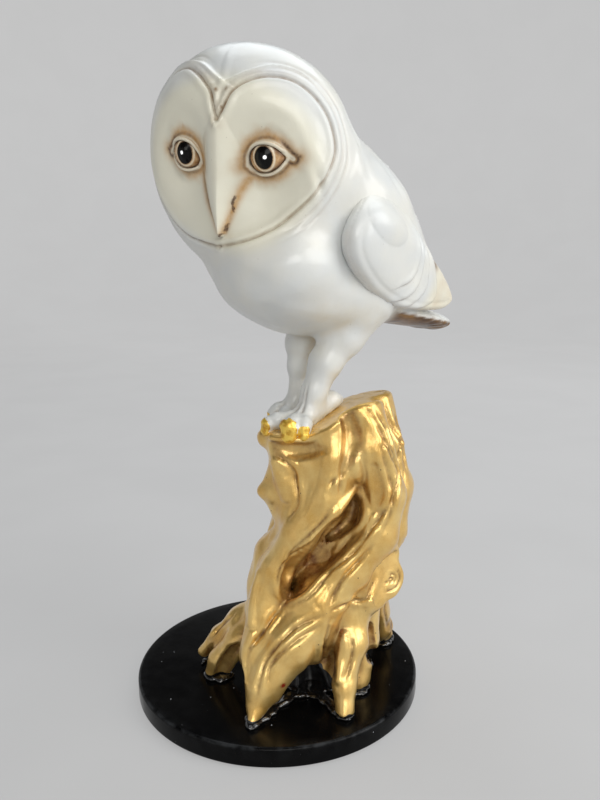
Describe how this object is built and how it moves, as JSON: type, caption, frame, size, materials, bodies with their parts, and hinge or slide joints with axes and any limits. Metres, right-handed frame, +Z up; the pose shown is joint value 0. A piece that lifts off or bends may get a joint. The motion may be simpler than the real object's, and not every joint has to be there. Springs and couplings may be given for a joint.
{
  "type": "owl figurine",
  "caption": "Standing owl figurine with a turned head, perched on a rooted tree stump that is fixed to a round plinth with a felt underside.",
  "frame": {"origin": "centre of the felt disc's underside, where the figurine rests", "axes": "+Z up; the owl's body faces -Y and its left side is +X"},
  "size_m": [0.14, 0.1662, 0.2987],
  "materials": {
    "felt": "short black nap",
    "black_lacquer": "turned wood under satin black lacquer, with a few dust specks",
    "black_adhesive": "glossy, uneven",
    "zinc_steel": "zinc plated",
    "gold_paint": "cast resin under metallic gold paint, with an orange brown wash in the hollows, glossy",
    "steel_wire": "drawn wire",
    "white_glaze": "glossy white paint, warmer on the face, with a thin brown wash round the eyes and beak",
    "black_eye": "high gloss with a small white dot"
  },
  "bodies": {
    "root": {"base_felt": "felt", "plinth": "black_lacquer", "adhesive_bed": "black_adhesive", "plinth_screw_1": "zinc_steel", "plinth_screw_2": "zinc_steel", "plinth_screw_3": "zinc_steel", "stump": "gold_paint", "leg_rod_left": "steel_wire", "leg_rod_right": "steel_wire", "owl_body": "white_glaze", "wing_left": "white_glaze", "wing_right": "white_glaze", "eye_left": "black_eye", "eye_right": "black_eye"}
  },
  "joints": []
}
